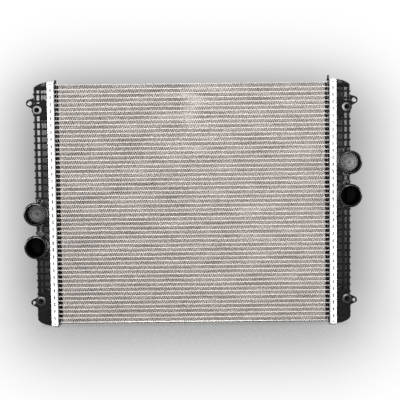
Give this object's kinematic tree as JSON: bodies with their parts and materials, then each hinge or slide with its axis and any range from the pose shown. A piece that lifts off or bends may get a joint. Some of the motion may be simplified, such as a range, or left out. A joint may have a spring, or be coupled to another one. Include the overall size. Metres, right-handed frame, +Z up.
{
  "type": "crossflow radiator",
  "caption": "Crossflow engine radiator: brazed tube and fin core, crimped headers, ribbed plastic end tanks with hose necks, bolt bosses and ears.",
  "frame": {"origin": "centre of the underside of the bottom side plate, on the core's middle plane", "axes": "+X along the tubes, towards the tank whose necks sit higher; -Y the way the hose necks point (the front in the picture); +Z up, from the bottom side plate to the top one"},
  "size_m": [0.8826, 0.126, 0.6612],
  "materials": {
    "core": "brazed, matt, slightly pink grey",
    "plate": "mill finish, brazed",
    "header": "bright rolled sheet",
    "tank": "moulded glass-filled nylon, satin",
    "rubber": "matt",
    "plug": "moulded, dull",
    "insert": "zinc plated",
    "drain": "moulded, satin"
  },
  "bodies": {
    "radiator": {"core_pack_01": "core", "core_pack_02": "core", "core_pack_03": "core", "core_pack_04": "core", "core_pack_05": "core", "core_pack_06": "core", "core_pack_07": "core", "core_pack_08": "core", "core_pack_09": "core", "core_pack_10": "core", "core_pack_11": "core", "core_pack_12": "core", "core_pack_13": "core", "core_pack_14": "core", "core_pack_15": "core", "core_pack_16": "core", "core_pack_17": "core", "core_pack_18": "core", "core_pack_19": "core", "core_pack_20": "core", "core_pack_21": "core", "core_pack_22": "core", "core_pack_23": "core", "core_pack_24": "core", "core_pack_25": "core", "core_pack_26": "core", "core_pack_27": "core", "side_plate_top": "plate", "side_plate_bottom": "plate", "header_left": "header", "header_right": "header", "gasket_left": "rubber", "gasket_right": "rubber", "tank_left": "tank", "tank_right": "tank", "blanking_disc_left": "plug", "blanking_disc_right": "plug", "boss_insert_bottom_left": "insert", "boss_insert_bottom_right": "insert", "boss_insert_top_left": "insert", "boss_insert_top_right": "insert"},
    "drain_carrier": {"drain_seal": "rubber"},
    "drain_cock": {"drain_screw": "drain"}
  },
  "joints": [
    {"name": "drain_travel", "type": "slide", "parent": "radiator", "child": "drain_carrier", "axis": [0, 1, 0], "range_m": [0, 0.00562]},
    {"name": "drain_turn", "type": "hinge", "parent": "drain_carrier", "child": "drain_cock", "pos_m": [0.399, 0.036, 0.024], "axis": [0, 1, 0], "range_deg": [0, 810]}
  ],
  "couplings": [
    {"joint": "drain_turn", "follows": "drain_travel", "rad_per_m": 2513.3}
  ]
}
